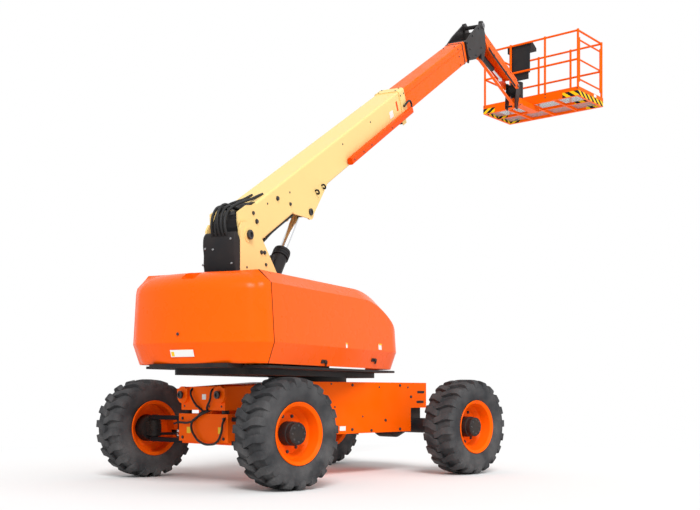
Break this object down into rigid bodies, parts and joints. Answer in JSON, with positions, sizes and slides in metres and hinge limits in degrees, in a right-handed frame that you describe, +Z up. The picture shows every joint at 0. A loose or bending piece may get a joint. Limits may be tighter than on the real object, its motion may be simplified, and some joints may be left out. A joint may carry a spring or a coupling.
{
  "type": "boom lift",
  "caption": "Self-propelled telescopic boom lift: four-wheel chassis, slewing turret, lifting and telescoping boom, levelling jib and a railed work platform.",
  "frame": {"origin": "on the ground where the slew axis meets it", "axes": "+X along the chassis towards the fixed drive axle, +Z up; the boom points 18 degrees to the left of +X"},
  "size_m": [10.492, 4.5694, 6.819],
  "materials": {
    "orange_paint": "gloss enamel",
    "cream_paint": "gloss enamel",
    "black_paint": "satin",
    "red_paint": "gloss",
    "orange_hood": "gloss moulding",
    "orange_casting": "painted casting",
    "black_cover": "moulded",
    "rod_chrome": "polished",
    "tyre_rubber": "rubber",
    "engine_metal": "cast",
    "tank_plastic": "moulded"
  },
  "bodies": {
    "chassis": {"chassis_frame": "orange_paint", "slew_ring": "black_paint", "front_axle": "orange_paint", "drive_axle": "black_paint", "steer_cylinder": "black_paint", "axle_lock_cylinders": "black_paint"},
    "knuckle_left": {"knuckle_left": "black_paint"},
    "knuckle_right": {"knuckle_right": "black_paint"},
    "steer_rods": {"steer_rods": "rod_chrome"},
    "wheel_front_left": {"tyre_front_left": "tyre_rubber", "rim_front_left": "orange_paint", "hub_front_left": "black_paint"},
    "wheel_front_right": {"tyre_front_right": "tyre_rubber", "rim_front_right": "orange_paint", "hub_front_right": "black_paint"},
    "wheel_rear_left": {"tyre_rear_left": "tyre_rubber", "rim_rear_left": "orange_paint", "hub_rear_left": "black_paint"},
    "wheel_rear_right": {"tyre_rear_right": "tyre_rubber", "rim_rear_right": "orange_paint", "hub_rear_right": "black_paint"},
    "turret": {"turret_deck": "black_paint", "counterweight": "orange_casting", "mast": "cream_paint", "mast_cover": "black_cover", "engine_block": "engine_metal", "tanks": "tank_plastic"},
    "hood_right": {"hood_right": "orange_hood"},
    "hood_left": {"hood_left": "orange_hood"},
    "base_boom": {"base_boom": "cream_paint", "hose_carrier": "red_paint"},
    "mid_boom": {"mid_boom": "orange_paint"},
    "fly_boom": {"fly_boom": "orange_paint", "boom_nose": "black_paint"},
    "lift_cylinder": {"lift_cylinder": "black_paint"},
    "lift_rod": {"lift_rod": "rod_chrome"},
    "jib_bracket": {"jib_bracket": "black_paint"},
    "jib_arm": {"jib_arm": "orange_paint"},
    "jib_link": {"jib_link": "orange_paint"},
    "jib_cylinder": {"jib_cylinder": "black_paint"},
    "jib_rod": {"jib_rod": "rod_chrome"},
    "jib_end": {"jib_end": "black_paint"},
    "platform": {"platform_floor": "orange_paint", "platform_rails": "orange_paint", "control_console": "black_cover", "platform_support": "orange_paint"},
    "platform_gate": {"platform_gate": "orange_paint"}
  },
  "joints": [
    {"name": "steer_left", "type": "hinge", "parent": "chassis", "child": "knuckle_left", "pos_m": [-1.245, 0.9, 0.49], "axis": [0, 0, 1], "range_deg": [-32, 32]},
    {"name": "steer_right", "type": "hinge", "parent": "chassis", "child": "knuckle_right", "pos_m": [-1.245, -0.9, 0.49], "axis": [0, 0, 1], "range_deg": [-32, 32]},
    {"name": "steer_shift", "type": "slide", "parent": "chassis", "child": "steer_rods", "axis": [0, 1, 0], "range_m": [-0.0885, 0.0885]},
    {"name": "spin_front_left", "type": "hinge", "parent": "knuckle_left", "child": "wheel_front_left", "pos_m": [-1.245, 1.06, 0.49], "axis": [0, 1, 0], "continuous": true},
    {"name": "spin_front_right", "type": "hinge", "parent": "knuckle_right", "child": "wheel_front_right", "pos_m": [-1.245, -1.06, 0.49], "axis": [0, 1, 0], "continuous": true},
    {"name": "spin_rear_left", "type": "hinge", "parent": "chassis", "child": "wheel_rear_left", "pos_m": [1.245, 1.06, 0.49], "axis": [0, 1, 0], "continuous": true},
    {"name": "spin_rear_right", "type": "hinge", "parent": "chassis", "child": "wheel_rear_right", "pos_m": [1.245, -1.06, 0.49], "axis": [0, 1, 0], "continuous": true},
    {"name": "slew", "type": "hinge", "parent": "chassis", "child": "turret", "pos_m": [0, 0, 1], "axis": [0, 0, 1], "continuous": true},
    {"name": "hood_right_lift", "type": "hinge", "parent": "turret", "child": "hood_right", "pos_m": [0.06953, -0.21399, 1.869], "axis": [-0.9511, -0.309, 0], "range_deg": [0, 60]},
    {"name": "hood_left_lift", "type": "hinge", "parent": "turret", "child": "hood_left", "pos_m": [-0.06953, 0.21399, 1.869], "axis": [0.9511, 0.309, 0], "range_deg": [0, 60]},
    {"name": "boom_lift", "type": "hinge", "parent": "turret", "child": "base_boom", "pos_m": [-1.36477, -0.44344, 2.252], "axis": [0.309, -0.9511, 0], "range_deg": [-34, 42]},
    {"name": "lift_cylinder_turn", "type": "hinge", "parent": "turret", "child": "lift_cylinder", "pos_m": [-1.16029, -0.377, 1.25], "axis": [0.309, -0.9511, 0], "range_deg": [-21.17, 26.04]},
    {"name": "lift_rod_slide", "type": "slide", "parent": "lift_cylinder", "child": "lift_rod", "axis": [0.5553, 0.1804, 0.8118], "range_m": [-0.4738, 0.5848]},
    {"name": "telescope", "type": "slide", "parent": "base_boom", "child": "mid_boom", "axis": [0.8236, 0.2676, 0.5], "range_m": [0, 3.3]},
    {"name": "telescope_fly", "type": "slide", "parent": "mid_boom", "child": "fly_boom", "axis": [0.8236, 0.2676, 0.5], "range_m": [0, 3.3]},
    {"name": "bracket_level", "type": "hinge", "parent": "fly_boom", "child": "jib_bracket", "pos_m": [4.82387, 1.56737, 6.22135], "axis": [0.309, -0.9511, 0], "range_deg": [-42, 34]},
    {"name": "jib_lift", "type": "hinge", "parent": "jib_bracket", "child": "jib_arm", "pos_m": [4.9475, 1.60754, 6.13135], "axis": [-0.309, 0.9511, 0], "range_deg": [-78.5, 51.5]},
    {"name": "jib_link_turn", "type": "hinge", "parent": "jib_bracket", "child": "jib_link", "pos_m": [4.89995, 1.59209, 5.79135], "axis": [-0.309, 0.9511, 0], "range_deg": [-78.5, 51.5]},
    {"name": "jib_cylinder_turn", "type": "hinge", "parent": "jib_bracket", "child": "jib_cylinder", "pos_m": [4.98174, 1.61867, 5.98135], "axis": [-0.309, 0.9511, 0], "range_deg": [-79.68, 52.27]},
    {"name": "jib_rod_slide", "type": "slide", "parent": "jib_cylinder", "child": "jib_rod", "axis": [0.9468, 0.3076, -0.0948], "range_m": [-0.1117, 0.1692]},
    {"name": "jib_end_level", "type": "hinge", "parent": "jib_arm", "child": "jib_end", "pos_m": [6.6406, 2.15766, 5.86529], "axis": [-0.309, 0.9511, 0], "range_deg": [-51.5, 78.5]},
    {"name": "platform_turn", "type": "hinge", "parent": "jib_end", "child": "platform", "pos_m": [6.89263, 2.23955, 5.71929], "axis": [0, 0, 1], "range_deg": [-76.8, 103.2]},
    {"name": "gate_swing", "type": "hinge", "parent": "platform", "child": "platform_gate", "pos_m": [8.22353, 1.45647, 6.01929], "axis": [0, 0, -1], "range_deg": [0, 90]}
  ],
  "couplings": [
    {"joint": "steer_right", "follows": "steer_left", "ratio": 1},
    {"joint": "steer_shift", "follows": "steer_left", "m_per_rad": 0.1566},
    {"joint": "lift_cylinder_turn", "follows": "boom_lift", "ratio": 0.608},
    {"joint": "lift_rod_slide", "follows": "boom_lift", "m_per_rad": 0.795},
    {"joint": "telescope_fly", "follows": "telescope", "ratio": 1},
    {"joint": "bracket_level", "follows": "boom_lift", "ratio": -1},
    {"joint": "jib_link_turn", "follows": "jib_lift", "ratio": 1},
    {"joint": "jib_cylinder_turn", "follows": "jib_lift", "ratio": 1.015},
    {"joint": "jib_rod_slide", "follows": "jib_lift", "m_per_rad": -0.122},
    {"joint": "jib_end_level", "follows": "jib_lift", "ratio": -1}
  ]
}
